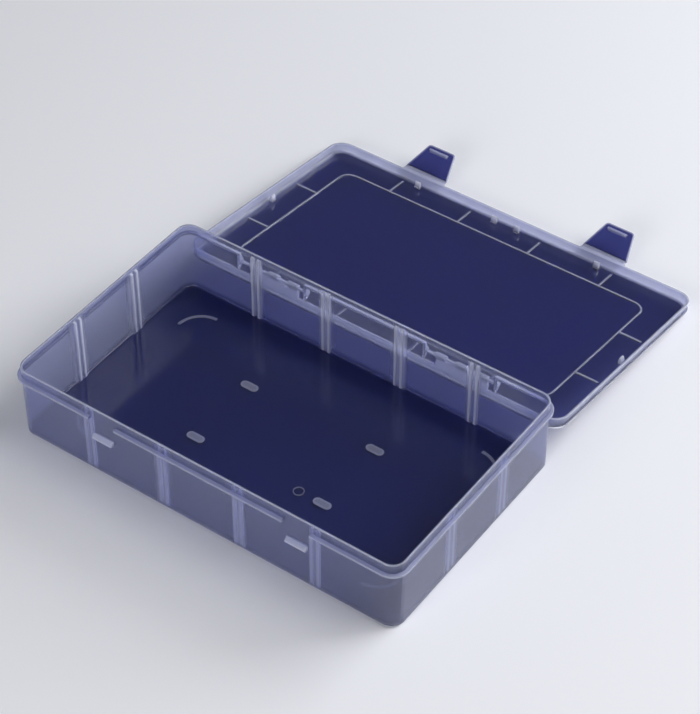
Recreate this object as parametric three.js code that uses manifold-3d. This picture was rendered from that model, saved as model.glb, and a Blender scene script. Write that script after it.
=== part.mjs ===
// A clear bead storage box: a shallow tray and a lid that lies open behind it, on two snap hinges.
// Two latch flaps hang from the lid's free edge on thin webs and snap under catches on the tray's front wall.
// Millimetres, +Z up, X along the box, the front wall towards -Y.
// The origin is the centre of the tray's footprint, on the surface that the box stands on.
import * as THREE from "three";
import { mergeVertices } from "three/addons/utils/BufferGeometryUtils.js";
import Module from "manifold-3d";

const wasm = await Module();
wasm.setup();

// Tray shell
const TRAY_LENGTH = 231;
const TRAY_WIDTH = 138;
const TRAY_HEIGHT = 43.9;
const CORNER_RADIUS = 7.5;
const WALL = 1.05;
const FLOOR = 1.1;
const WALL_LEAN = 0.2;
const BOTTOM_EDGE_RADIUS = 1.2;
const FLOOR_FILLET = 0.9;
const LIP_EDGE_RADIUS = 0.35;

// Flange that the lid's skirt comes down on, below the lip
const LIP_HEIGHT = 5.5;
const FLANGE_OUT = 1.9;
const FLANGE_THICKNESS = 1.4;

// Divider slots: pairs of upright ribs on all four walls
const COLUMNS = 5;
const ROWS = 3;
const SLOT_WIDTH = 2.3;
const RIB_THICKNESS = 1.5;
const RIB_DEPTH = 1.2;
const RIB_TOP_DROP = 2.2;

// Arc feet under the floor
const FOOT_HEIGHT = 0.4;
const FOOT_RADIUS = 14.5;
const FOOT_WIDTH = 1.6;
const FOOT_INSET_X = 16.5;
const FOOT_INSET_Y = 16;

// Oval rings and the round mark under the floor
const OVAL_LENGTH = 10.4;
const OVAL_WIDTH = 4.8;
const OVAL_RIM = 1.1;
const OVAL_HEIGHT = 0.3;
const OVAL_FROM_MIDDLE = 39.6;
const MARK_RADIUS = 3;
const MARK_RIM = 0.5;
const MARK_HEIGHT = 0.2;
const MARK_FROM_MIDDLE = 25.2;

// Catches on the front wall, each below a gap in the flange
const CATCH_FROM_MIDDLE = 58.9;
const CATCH_WIDTH = 14.6;
const CATCH_OUT = 2.3;
const CATCH_NOSE = 1;
const CATCH_HEIGHT = 3;
const FLANGE_GAP_WIDTH = 16;

// Hinges: a pin between two ears in each gap of the rear flange
const HINGE_FROM_MIDDLE = 59;
const HINGE_GAP = 41.8;
const EAR_THICKNESS = 1.4;
const EAR_NOSE_RADIUS = 1.9;
const EAR_SLOPE = 2.2;
const PIN_RADIUS = 0.85;
const PIN_FROM_WALL = 2.3;
const PIN_BELOW_FLANGE = 6.5;

// Lid
const FIT = 0.3;
const SKIRT_FIT = 0.6;
const SKIRT = 1.2;
const LID_PLATE = 1.3;
const LID_EDGE_RADIUS = 1.8;
const LID_INNER_FILLET = 1;
const SKIRT_EDGE_RADIUS = 0.25;
const FRAME_INSET = 18.4;
const FRAME_RADIUS = 7.5;
const LID_RIB_WIDTH = 0.9;
const LID_RIB_HEIGHT = 0.7;
const LID_RIB_FROM_SKIRT = 4.1;
const LUG_WIDTH = 3.4;
const LUG_HEIGHT = 4;
const LUG_DEPTH = 2.4;
const LUG_TIP = 0.8;
const LUG_FIT = 0.8;
const LUG_FROM_MIDDLE = 7.4;

// Arms and open knuckles that snap over the hinge pins
const ARM_WIDTH = 31.4;
const KNUCKLES = 3;
const KNUCKLE_WIDTH = 6.2;
const PIN_CLEARANCE = 0.2;
const KNUCKLE_WALL = 0.85;
const KNUCKLE_OPENING = THREE.MathUtils.degToRad(100);
const KNUCKLE_MOUTH = THREE.MathUtils.degToRad(20);

// Latch flaps
const LEDGE_OUT = 1.8;
const LEDGE_THICKNESS = 1.3;
const WEB_LENGTH = 1.3;
const WEB_THICKNESS = 0.4;
const WEB_GAP = 0.3;
const FLAP_BASE_WIDTH = 27.6;
const FLAP_TIP_WIDTH = 17.4;
const FLAP_LENGTH = 18.5;
const FLAP_THICKNESS = 1.2;
const FLAP_CORNER_RADIUS = 2.4;
const HOOK_WIDTH = 11.6;
const HOOK_LENGTH = 2.4;
const HOOK_HEIGHT = 2.8;
const HOOK_TIP = 1.2;
const FLAP_REST_FOLD = THREE.MathUtils.degToRad(29.5);

// Smoothness of the round forms, and the overrun of joins and cuts
const CORNER_STEPS = 8;
const EDGE_STEPS = 3;
const ROUND_STEPS = 20;
const OVERRUN = 0.5;
const MERGE_SHARE = 0.001;

// Places that follow from the sizes
const HALF_LENGTH = TRAY_LENGTH / 2;
const HALF_WIDTH = TRAY_WIDTH / 2;
const UNDERSIDE = FOOT_HEIGHT;
const FLOOR_TOP = UNDERSIDE + FLOOR;
const LIP_TOP = UNDERSIDE + TRAY_HEIGHT;
const FLANGE_TOP = LIP_TOP - LIP_HEIGHT;
const FLANGE_BOTTOM = FLANGE_TOP - FLANGE_THICKNESS;
const PIVOT_Y = HALF_WIDTH + PIN_FROM_WALL;
const PIVOT_Z = FLANGE_TOP - PIN_BELOW_FLANGE;
const LID_GROWTH = SKIRT_FIT + SKIRT;
const LID_HALF_LENGTH = HALF_LENGTH + LID_GROWTH;
const LID_HALF_WIDTH = HALF_WIDTH + LID_GROWTH;
const SKIRT_EDGE = FLANGE_TOP + FIT;
const LID_CEILING = LIP_TOP + FIT;
const LID_TOP = LID_CEILING + LID_PLATE;
const FLAP_HINGE_Y = -(LID_HALF_WIDTH + LEDGE_OUT + WEB_LENGTH / 2);
const HOOK_FROM_HINGE = FLAP_LENGTH - FLAP_CORNER_RADIUS - HOOK_LENGTH / 2;

// Height of the catches' underside: the hook of a folded flap comes to rest just below it.
const CATCH_UNDERSIDE = SKIRT_EDGE - (HOOK_FROM_HINGE - HOOK_LENGTH / 2) + FIT;

// How far the lid turns from closed until its front edge lies on the surface the box stands on:
// the centre of that edge's round comes down to one radius above the surface.
const edgeReach = LID_HALF_WIDTH - LID_EDGE_RADIUS + PIVOT_Y;
const edgeRise = LID_TOP - LID_EDGE_RADIUS - PIVOT_Z;
const edgeArm = Math.hypot(edgeReach, edgeRise);
const edgeDrop = PIVOT_Z - LID_EDGE_RADIUS;
const LID_TILT = Math.atan2(edgeReach, edgeRise) - Math.acos(edgeDrop / edgeArm);
const LID_OPEN = Math.PI + LID_TILT;

// The closed surface of a geometry as a solid that can be joined and cut.
function solid(geometry) {
  const bare = geometry.index ? geometry.toNonIndexed() : geometry.clone();
  bare.deleteAttribute("normal");
  bare.deleteAttribute("uv");
  const merged = mergeVertices(bare, LIP_EDGE_RADIUS * MERGE_SHARE);
  return new wasm.Manifold(
    new wasm.Mesh({
      numProp: 3,
      vertProperties: merged.attributes.position.array,
      triVerts: new Uint32Array(merged.index.array),
    }),
  );
}

function join(solids) {
  return solids.reduce((whole, piece) => whole.add(piece));
}

function cut(whole, tools) {
  return tools.reduce((left, tool) => left.subtract(tool), whole);
}

// A box between two corners.
function block([x0, y0, z0], [x1, y1, z1]) {
  const box = new THREE.BoxGeometry(x1 - x0, y1 - y0, z1 - z0);
  return solid(box.translate((x0 + x1) / 2, (y0 + y1) / 2, (z0 + z1) / 2));
}

// The points of a rounded rectangle round the Z axis, anticlockwise.
function roundedRectangle(halfX, halfY, radius) {
  const points = [];
  for (let corner = 0; corner < 4; corner += 1) {
    const signX = corner === 0 || corner === 3 ? 1 : -1;
    const signY = corner < 2 ? 1 : -1;
    for (let step = 0; step <= CORNER_STEPS; step += 1) {
      const angle = ((corner + step / CORNER_STEPS) * Math.PI) / 2;
      points.push([
        signX * (halfX - radius) + radius * Math.cos(angle),
        signY * (halfY - radius) + radius * Math.sin(angle),
      ]);
    }
  }
  return points;
}

// A solid lofted through rounded rectangles [halfX, halfY, radius, z], listed upwards and closed at both ends.
function loft(levels) {
  const rings = levels.map(([halfX, halfY, radius, z]) =>
    roundedRectangle(halfX, halfY, radius).map(([x, y]) => [x, y, z]),
  );
  const positions = [];
  const face = (...corners) => corners.forEach((corner) => positions.push(...corner));
  rings.slice(1).forEach((upper, index) => {
    const lower = rings[index];
    lower.forEach((point, i) => {
      const next = (i + 1) % lower.length;
      face(point, lower[next], upper[next]);
      face(point, upper[next], upper[i]);
    });
  });
  const bottom = rings[0];
  const top = rings[rings.length - 1];
  for (let i = 1; i < bottom.length - 1; i += 1) {
    face(bottom[0], bottom[i + 1], bottom[i]);
    face(top[0], top[i], top[i + 1]);
  }
  const geometry = new THREE.BufferGeometry();
  geometry.setAttribute("position", new THREE.Float32BufferAttribute(positions, 3));
  return solid(geometry);
}

// A rounded rectangle of the tray's or the lid's plan, moved in by an inset.
function level(halfX, halfY, radius, inset, z) {
  return [halfX - inset, halfY - inset, radius - inset, z];
}

// A flat outline of points or arcs, raised from z0 to z1.
function raised(shape, z0, z1) {
  const settings = { depth: z1 - z0, bevelEnabled: false, curveSegments: ROUND_STEPS };
  return solid(new THREE.ExtrudeGeometry(shape, settings).translate(0, 0, z0));
}

// An outline drawn in Y and Z, carried along X from x0 to x1.
function carried(shape, x0, x1) {
  const settings = { depth: x1 - x0, bevelEnabled: false, curveSegments: ROUND_STEPS };
  const geometry = new THREE.ExtrudeGeometry(shape, settings);
  const turn = new THREE.Matrix4().makeBasis(
    new THREE.Vector3(0, 1, 0),
    new THREE.Vector3(0, 0, 1),
    new THREE.Vector3(1, 0, 0),
  );
  return solid(geometry.applyMatrix4(turn).translate(x0, 0, 0));
}

function polygon(points) {
  return new THREE.Shape(points.map(([a, b]) => new THREE.Vector2(a, b)));
}

// A round bar along X about a point in Y and Z.
function bar(radius, x0, x1, y, z) {
  const rod = new THREE.CylinderGeometry(radius, radius, x1 - x0, ROUND_STEPS);
  return solid(rod.rotateZ(Math.PI / 2).translate((x0 + x1) / 2, y, z));
}

// An outline with straight long sides and half-round ends.
function stadium(length, width) {
  const radius = width / 2;
  const reach = length / 2 - radius;
  const shape = new THREE.Shape();
  shape.absarc(reach, 0, radius, -Math.PI / 2, Math.PI / 2);
  shape.absarc(-reach, 0, radius, Math.PI / 2, (3 * Math.PI) / 2);
  return shape;
}

const mirrored = [-1, 1];

// The places of the lines between equal cells along the tray's inside, from its middle.
function cellLines(count, outside) {
  const inside = outside - 2 * WALL;
  return Array.from({ length: count - 1 }, (_, i) => ((i + 1) / count - 1 / 2) * inside);
}

// The quarter round of an edge as [inset, height] pairs, from its foot to its tangent point.
function quarterRound(radius) {
  return Array.from({ length: EDGE_STEPS + 1 }, (_, step) => {
    const angle = (step / EDGE_STEPS) * (Math.PI / 2);
    return [radius * (1 - Math.sin(angle)), radius * (1 - Math.cos(angle))];
  });
}

function trayShell() {
  const plan = (inset, z) => level(HALF_LENGTH, HALF_WIDTH, CORNER_RADIUS, inset, z);
  const outside = loft([
    ...quarterRound(BOTTOM_EDGE_RADIUS).map(([inset, height]) =>
      plan(WALL_LEAN + inset, UNDERSIDE + height),
    ),
    plan(0, FLANGE_BOTTOM),
    ...quarterRound(LIP_EDGE_RADIUS)
      .reverse()
      .map(([inset, height]) => plan(inset, LIP_TOP - height)),
  ]);
  const inside = loft([
    ...quarterRound(FLOOR_FILLET).map(([inset, height]) =>
      plan(WALL + WALL_LEAN + inset, FLOOR_TOP + height),
    ),
    plan(WALL, FLANGE_BOTTOM),
    ...quarterRound(LIP_EDGE_RADIUS)
      .reverse()
      .map(([inset, height]) => plan(WALL - inset, LIP_TOP - height)),
    plan(WALL - LIP_EDGE_RADIUS, LIP_TOP + OVERRUN),
  ]);
  return outside.subtract(inside);
}

// The flange all round, less its gaps over the catches and the hinges.
function flange() {
  const plan = (inset, z) => level(HALF_LENGTH, HALF_WIDTH, CORNER_RADIUS, inset, z);
  const whole = loft([plan(-FLANGE_OUT, FLANGE_BOTTOM), plan(-FLANGE_OUT, FLANGE_TOP)]);
  const bore = loft([
    plan(WALL / 2, FLANGE_BOTTOM - OVERRUN),
    plan(WALL / 2, FLANGE_TOP + OVERRUN),
  ]);
  const gap = (middle, width, y0, y1) =>
    block(
      [middle - width / 2, y0, FLANGE_BOTTOM - OVERRUN],
      [middle + width / 2, y1, FLANGE_TOP + OVERRUN],
    );
  const reach = HALF_WIDTH + FLANGE_OUT + OVERRUN;
  const gaps = mirrored.flatMap((side) => [
    gap(side * CATCH_FROM_MIDDLE, FLANGE_GAP_WIDTH, -reach, -HALF_WIDTH),
    gap(side * HINGE_FROM_MIDDLE, HINGE_GAP, HALF_WIDTH, reach),
  ]);
  return cut(whole, [bore, ...gaps]);
}

// The two ribs of one divider slot, standing against the wall at the given distance from the middle.
function slotRibs(middle, wallFace, alongX) {
  const ribTop = LIP_TOP - RIB_TOP_DROP;
  return mirrored.flatMap((wallSide) =>
    mirrored.map((ribSide) => {
      const centre = middle + (ribSide * (SLOT_WIDTH + RIB_THICKNESS)) / 2;
      const across = [centre - RIB_THICKNESS / 2, centre + RIB_THICKNESS / 2];
      const root = wallFace + WALL / 2;
      const face = wallFace - WALL_LEAN - RIB_DEPTH;
      const deep = [wallSide * face, wallSide * root].sort((a, b) => a - b);
      const [x, y] = alongX ? [across, deep] : [deep, across];
      return block([x[0], y[0], FLOOR_TOP - FLOOR / 2], [x[1], y[1], ribTop]);
    }),
  );
}

function dividerSlots() {
  return [
    ...cellLines(COLUMNS, TRAY_LENGTH).flatMap((x) => slotRibs(x, HALF_WIDTH - WALL, true)),
    ...cellLines(ROWS, TRAY_WIDTH).flatMap((y) => slotRibs(y, HALF_LENGTH - WALL, false)),
  ];
}

// One arc foot near each corner: a quarter of a ring about a centre nearer the middle.
function feet() {
  const arc = new THREE.Shape();
  arc.absarc(0, 0, FOOT_RADIUS + FOOT_WIDTH / 2, 0, Math.PI / 2);
  arc.absarc(0, 0, FOOT_RADIUS - FOOT_WIDTH / 2, Math.PI / 2, 0, true);
  const x = HALF_LENGTH - FOOT_INSET_X - FOOT_RADIUS;
  const y = HALF_WIDTH - FOOT_INSET_Y - FOOT_RADIUS;
  const foot = raised(arc, 0, UNDERSIDE + FLOOR / 2).translate([x, y, 0]);
  const right = [foot, foot.mirror([0, 1, 0])];
  return [...right, ...right.map((shape) => shape.mirror([1, 0, 0]))];
}

function undersideRings() {
  const cellLine = (HALF_WIDTH - WALL) / ROWS;
  const oval = stadium(OVAL_LENGTH, OVAL_WIDTH);
  oval.holes.push(stadium(OVAL_LENGTH - 2 * OVAL_RIM, OVAL_WIDTH - 2 * OVAL_RIM));
  const mark = stadium(2 * MARK_RADIUS, 2 * MARK_RADIUS);
  mark.holes.push(stadium(2 * (MARK_RADIUS - MARK_RIM), 2 * (MARK_RADIUS - MARK_RIM)));
  const root = UNDERSIDE + FLOOR / 2;
  const ovals = mirrored.flatMap((sideX) =>
    mirrored.map((sideY) =>
      raised(oval, UNDERSIDE - OVAL_HEIGHT, root).translate([
        sideX * OVAL_FROM_MIDDLE,
        sideY * cellLine,
        0,
      ]),
    ),
  );
  const round = raised(mark, UNDERSIDE - MARK_HEIGHT, root);
  return [...ovals, round.translate([MARK_FROM_MIDDLE, -cellLine, 0])];
}

// A wedge on the front wall, sloping out from its top to a nose with a flat underside.
function catches() {
  const root = -HALF_WIDTH + WALL_LEAN + WALL / 2;
  const nose = -HALF_WIDTH - CATCH_OUT;
  const wedge = polygon([
    [root, CATCH_UNDERSIDE],
    [root, CATCH_UNDERSIDE + CATCH_HEIGHT],
    [-HALF_WIDTH, CATCH_UNDERSIDE + CATCH_HEIGHT],
    [nose, CATCH_UNDERSIDE + CATCH_NOSE],
    [nose, CATCH_UNDERSIDE],
  ]);
  return mirrored.map((side) => {
    const middle = side * CATCH_FROM_MIDDLE;
    return carried(wedge, middle - CATCH_WIDTH / 2, middle + CATCH_WIDTH / 2);
  });
}

// Two ears and the pin between them, for each hinge.
function trayHinges() {
  const root = HALF_WIDTH - WALL / 2;
  const ear = new THREE.Shape();
  ear.moveTo(root, FLANGE_BOTTOM + FLANGE_THICKNESS / 2);
  ear.lineTo(root, PIVOT_Z - EAR_NOSE_RADIUS - EAR_SLOPE);
  ear.lineTo(HALF_WIDTH, PIVOT_Z - EAR_NOSE_RADIUS - EAR_SLOPE);
  ear.absarc(PIVOT_Y, PIVOT_Z, EAR_NOSE_RADIUS, -Math.PI / 4, 0);
  ear.lineTo(HALF_WIDTH + FLANGE_OUT, FLANGE_BOTTOM);
  ear.lineTo(HALF_WIDTH + FLANGE_OUT, FLANGE_BOTTOM + FLANGE_THICKNESS / 2);
  return mirrored.flatMap((side) => {
    const middle = side * HINGE_FROM_MIDDLE;
    const inner = HINGE_GAP / 2;
    const outer = inner + EAR_THICKNESS;
    return [
      carried(ear, middle - outer, middle - inner),
      carried(ear, middle + inner, middle + outer),
      bar(
        PIN_RADIUS,
        middle - inner - EAR_THICKNESS / 2,
        middle + inner + EAR_THICKNESS / 2,
        PIVOT_Y,
        PIVOT_Z,
      ),
    ];
  });
}

function tray() {
  return join([
    trayShell(),
    flange(),
    ...dividerSlots(),
    ...feet(),
    ...undersideRings(),
    ...catches(),
    ...trayHinges(),
  ]);
}

function lidShell() {
  const radius = CORNER_RADIUS + LID_GROWTH;
  const plan = (inset, z) => level(LID_HALF_LENGTH, LID_HALF_WIDTH, radius, inset, z);
  const outside = loft([
    ...quarterRound(SKIRT_EDGE_RADIUS).map(([inset, height]) =>
      plan(inset, SKIRT_EDGE + height),
    ),
    ...quarterRound(LID_EDGE_RADIUS)
      .reverse()
      .map(([inset, height]) => plan(inset, LID_TOP - height)),
  ]);
  const inside = loft([
    plan(SKIRT, SKIRT_EDGE - OVERRUN),
    ...quarterRound(LID_INNER_FILLET)
      .reverse()
      .map(([inset, height]) => plan(SKIRT + inset, LID_CEILING - height)),
  ]);
  return outside.subtract(inside);
}

// The low frame under the lid's plate, and the short ribs that run out from it in line with the divider slots.
function lidRibs() {
  const top = LID_CEILING + LID_PLATE / 2;
  const foot = LID_CEILING - LID_RIB_HEIGHT;
  const frameX = LID_HALF_LENGTH - FRAME_INSET;
  const frameY = LID_HALF_WIDTH - FRAME_INSET;
  const ring = (inset, z0, z1) =>
    loft([
      level(frameX, frameY, FRAME_RADIUS, inset, z0),
      level(frameX, frameY, FRAME_RADIUS, inset, z1),
    ]);
  const frame = ring(0, foot, top).subtract(
    ring(LID_RIB_WIDTH, foot - OVERRUN, top + OVERRUN),
  );
  const rib = (across, near, far, side, alongX) => {
    const width = [across - LID_RIB_WIDTH / 2, across + LID_RIB_WIDTH / 2];
    const run = [side * near, side * far].sort((a, b) => a - b);
    const [x, y] = alongX ? [width, run] : [run, width];
    return block([x[0], y[0], foot], [x[1], y[1], top]);
  };
  const inner = FRAME_INSET + LID_RIB_WIDTH / 2;
  const outer = SKIRT + LID_RIB_FROM_SKIRT;
  const ribs = mirrored.flatMap((side) => [
    ...cellLines(COLUMNS, TRAY_LENGTH).map((x) =>
      rib(x, LID_HALF_WIDTH - inner, LID_HALF_WIDTH - outer, side, true),
    ),
    ...cellLines(ROWS, TRAY_WIDTH).map((y) =>
      rib(y, LID_HALF_LENGTH - inner, LID_HALF_LENGTH - outer, side, false),
    ),
  ]);
  return [frame, ...ribs];
}

// Wedge-shaped lugs that drop just inside the tray's lip, four along the front and one at each end.
function lidLugs() {
  const base = LID_CEILING + LID_PLATE / 2;
  const tip = LID_CEILING - LUG_HEIGHT;
  const lug = (lipFace) =>
    polygon([
      [lipFace, base],
      [lipFace - LUG_DEPTH, base],
      [lipFace - LUG_DEPTH, LID_CEILING],
      [lipFace - LUG_DEPTH / 2 - LUG_TIP / 2, tip],
      [lipFace - LUG_DEPTH / 2 + LUG_TIP / 2, tip],
      [lipFace, LID_CEILING - LUG_HEIGHT / 2],
    ].reverse());
  const half = LUG_WIDTH / 2;
  const front = [-CATCH_FROM_MIDDLE, -LUG_FROM_MIDDLE, LUG_FROM_MIDDLE, CATCH_FROM_MIDDLE];
  const wide = carried(lug(HALF_WIDTH - WALL - LUG_FIT), -half, half).rotate([0, 0, 180]);
  const end = carried(lug(HALF_LENGTH - WALL - LUG_FIT), -half, half);
  return [
    ...front.map((x) => wide.translate([x, 0, 0])),
    ...mirrored.map((side) => end.rotate([0, 0, side * 90])),
  ];
}

// An arm that hangs from the rear skirt, with open knuckles round the tray's pin.
function lidHinge(middle) {
  const inner = HALF_WIDTH + SKIRT_FIT;
  const outer = LID_HALF_WIDTH;
  const boreRadius = PIN_RADIUS + PIN_CLEARANCE;
  const ringRadius = boreRadius + KNUCKLE_WALL;
  const half = ARM_WIDTH / 2;
  const arm = block(
    [middle - half, inner, PIVOT_Z + ringRadius],
    [middle + half, outer, SKIRT_EDGE + LIP_HEIGHT / 2],
  );
  const open = KNUCKLE_MOUTH + KNUCKLE_OPENING / 2;
  const shut = KNUCKLE_MOUTH - KNUCKLE_OPENING / 2 + 2 * Math.PI;
  const ring = new THREE.Shape();
  ring.absarc(PIVOT_Y, PIVOT_Z, ringRadius, open, shut);
  ring.absarc(PIVOT_Y, PIVOT_Z, boreRadius, shut, open, true);
  const pitch = (ARM_WIDTH - KNUCKLE_WIDTH) / (KNUCKLES - 1);
  const knuckles = Array.from({ length: KNUCKLES }, (_, i) => {
    const start = middle - half + i * pitch;
    const end = start + KNUCKLE_WIDTH;
    const neck = block(
      [start, inner, PIVOT_Z],
      [end, outer, PIVOT_Z + ringRadius + OVERRUN],
    );
    return carried(ring, start, end).add(neck);
  });
  const bore = bar(boreRadius, middle - half - OVERRUN, middle + half + OVERRUN, PIVOT_Y, PIVOT_Z);
  return cut(join([arm, ...knuckles]), [bore]);
}

// The ledge on the skirt's free edge that carries a latch flap's web.
function latchLedge(middle) {
  const half = FLAP_BASE_WIDTH / 2;
  return block(
    [middle - half, -LID_HALF_WIDTH - LEDGE_OUT, SKIRT_EDGE],
    [middle + half, -LID_HALF_WIDTH + SKIRT / 2, SKIRT_EDGE + LEDGE_THICKNESS],
  );
}

function lid() {
  return join([
    lidShell(),
    ...lidRibs(),
    ...lidLugs(),
    ...mirrored.map((side) => lidHinge(side * HINGE_FROM_MIDDLE)),
    ...mirrored.map((side) => latchLedge(side * CATCH_FROM_MIDDLE)),
  ]);
}

// A latch flap lying flat, its hinge line on the X axis: it tapers to a round-cornered tip and carries a hook.
function latchFlap() {
  const base = FLAP_BASE_WIDTH / 2;
  const tip = FLAP_TIP_WIDTH / 2;
  const start = -WEB_LENGTH / 2;
  const end = -FLAP_LENGTH;
  const lean = Math.atan2(base - tip, FLAP_LENGTH - WEB_LENGTH / 2);
  const turn = Math.PI / 2 - lean;
  const setIn = FLAP_CORNER_RADIUS * Math.tan(turn / 2);
  const centreX = tip - setIn;
  const centreY = end + FLAP_CORNER_RADIUS;
  const outline = new THREE.Shape();
  outline.moveTo(base, start);
  outline.lineTo(-base, start);
  outline.absarc(-centreX, centreY, FLAP_CORNER_RADIUS, Math.PI + lean, 1.5 * Math.PI);
  outline.absarc(centreX, centreY, FLAP_CORNER_RADIUS, 1.5 * Math.PI, 2 * Math.PI - lean);
  const plate = raised(outline, 0, FLAP_THICKNESS);
  const face = -HOOK_FROM_HINGE + HOOK_LENGTH / 2;
  const hook = polygon([
    [face, FLAP_THICKNESS / 2],
    [face - HOOK_LENGTH, FLAP_THICKNESS / 2],
    [face - HOOK_LENGTH, 0],
    [face - HOOK_TIP, -HOOK_HEIGHT],
    [face, -HOOK_HEIGHT],
  ]);
  return plate.add(carried(hook, -HOOK_WIDTH / 2, HOOK_WIDTH / 2));
}

// The thin web between ledge and flap, bent by the flap's fold at rest.
function latchWeb() {
  const reach = WEB_LENGTH / 2 - WEB_GAP;
  const folded = (distance, height) => [
    -distance * Math.cos(FLAP_REST_FOLD) - height * Math.sin(FLAP_REST_FOLD),
    -distance * Math.sin(FLAP_REST_FOLD) + height * Math.cos(FLAP_REST_FOLD),
  ];
  const strip = polygon([
    [reach, 0],
    [reach, WEB_THICKNESS],
    [-WEB_THICKNESS * Math.tan(FLAP_REST_FOLD / 2), WEB_THICKNESS],
    folded(reach, WEB_THICKNESS),
    folded(reach, 0),
    [0, 0],
  ]);
  return carried(strip, -FLAP_BASE_WIDTH / 2, FLAP_BASE_WIDTH / 2);
}

const clear = (color, opacity) =>
  new THREE.MeshStandardMaterial({
    color,
    opacity,
    roughness: 0.22,
    metalness: 0,
    transparent: true,
  });
const trayPlastic = clear(0xb4b6de, 0.4);
const lidPlastic = clear(0x9a9cd8, 0.4);

// A named mesh of a solid, with its points moved so that the given origin becomes zero.
function piece(name, shape, material, [x, y, z] = [0, 0, 0]) {
  const { vertProperties, triVerts } = shape.translate([-x, -y, -z]).getMesh();
  const geometry = new THREE.BufferGeometry();
  geometry.setAttribute("position", new THREE.BufferAttribute(vertProperties, 3));
  geometry.setIndex(new THREE.BufferAttribute(triVerts, 1));
  geometry.computeVertexNormals();
  const mesh = new THREE.Mesh(geometry, material);
  mesh.name = name;
  return mesh;
}

const box = new THREE.Group();
box.add(piece("tray", tray(), trayPlastic));

const openLid = new THREE.Group();
openLid.position.set(0, PIVOT_Y, PIVOT_Z);
openLid.rotation.x = -LID_OPEN;
openLid.add(piece("lid", lid(), lidPlastic, [0, PIVOT_Y, PIVOT_Z]));
box.add(openLid);

const flap = latchFlap();
const web = latchWeb();
[
  ["left", -CATCH_FROM_MIDDLE],
  ["right", CATCH_FROM_MIDDLE],
].forEach(([hand, middle]) => {
  const hinge = new THREE.Group();
  hinge.position.set(middle, FLAP_HINGE_Y - PIVOT_Y, SKIRT_EDGE - PIVOT_Z);
  const fold = new THREE.Group();
  fold.rotation.x = FLAP_REST_FOLD;
  fold.add(piece("latch_flap_" + hand, flap, lidPlastic));
  hinge.add(fold);
  hinge.add(piece("latch_web_" + hand, web, lidPlastic));
  openLid.add(hinge);
});

export default box;
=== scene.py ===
"""A clear bead storage box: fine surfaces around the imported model, on a plain stage."""

import math

import bpy
import numpy as np
from mathutils import Matrix, Vector


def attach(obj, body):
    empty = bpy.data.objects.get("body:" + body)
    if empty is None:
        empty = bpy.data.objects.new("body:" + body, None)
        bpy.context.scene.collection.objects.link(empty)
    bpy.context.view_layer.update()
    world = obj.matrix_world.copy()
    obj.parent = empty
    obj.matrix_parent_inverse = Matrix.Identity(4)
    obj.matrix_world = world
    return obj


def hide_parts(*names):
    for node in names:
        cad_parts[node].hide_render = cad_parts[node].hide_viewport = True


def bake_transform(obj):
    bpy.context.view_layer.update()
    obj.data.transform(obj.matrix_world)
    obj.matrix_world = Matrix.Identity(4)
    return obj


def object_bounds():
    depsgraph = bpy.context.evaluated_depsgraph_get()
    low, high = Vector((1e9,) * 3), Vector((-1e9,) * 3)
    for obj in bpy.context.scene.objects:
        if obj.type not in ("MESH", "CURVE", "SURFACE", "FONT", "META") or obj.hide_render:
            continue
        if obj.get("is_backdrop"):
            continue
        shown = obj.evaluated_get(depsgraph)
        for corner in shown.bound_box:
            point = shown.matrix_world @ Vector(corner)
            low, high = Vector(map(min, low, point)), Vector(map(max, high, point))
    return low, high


bl_info = {
    "name": "Clear bead storage box",
    "version": (1, 0, 0),
    "blender": (4, 5, 0),
    "location": "View3D > Sidebar > Bead box",
    "description": "Builds a clear bead box, its tray, lid and latches, as fine surfaces",
    "category": "Mesh",
}

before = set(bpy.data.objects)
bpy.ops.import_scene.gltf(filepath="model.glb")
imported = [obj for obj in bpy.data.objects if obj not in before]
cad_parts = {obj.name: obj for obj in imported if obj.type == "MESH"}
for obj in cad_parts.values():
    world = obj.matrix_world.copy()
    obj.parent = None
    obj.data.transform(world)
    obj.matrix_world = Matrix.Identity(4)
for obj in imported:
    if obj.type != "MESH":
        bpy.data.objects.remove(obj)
CAD_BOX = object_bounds()

# All lengths below are in millimetres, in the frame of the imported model.
MM = 0.001

# Tray
TRAY_HALF_X = 115.5
TRAY_HALF_Y = 69.0
TRAY_RADIUS = 7.5
WALL = 1.05
LEAN = 0.2
UNDERSIDE = 0.4
FLOOR_TOP = 1.5
LIP_TOP = 44.3
BOTTOM_ROUND = 1.2
FLOOR_FILLET = 0.9
LIP_ROUND = 0.35
FLANGE_LOW = 37.4
FLANGE_HIGH = 38.8
FLANGE_OUT = 1.9
FLANGE_ROUND = 0.25
CELLS_X = 5
CELLS_Y = 3
SLOT = 2.3
RIB_WIDTH = 1.5
RIB_DEPTH = 1.2
RIB_TOP = 42.1
RIB_SLOPE = 0.7

# Rows of the tray's surface: heights on the walls, and distances in from a face
UNDERSIDE_ROWS = (5, 3.5, 2)
OUTER_ROWS = (4, 8, 14, 20, 29.5, 34, 36)
INNER_ROWS = (36, 28, 20, 12, 6)
FLOOR_ROWS = (0.3, 1.5, 3.5)
ABOVE_BOTTOM = 0.25
ABOVE_FLANGE = 0.3
BELOW_LIP = 0.7
ABOVE_RIB = 0.2

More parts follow.
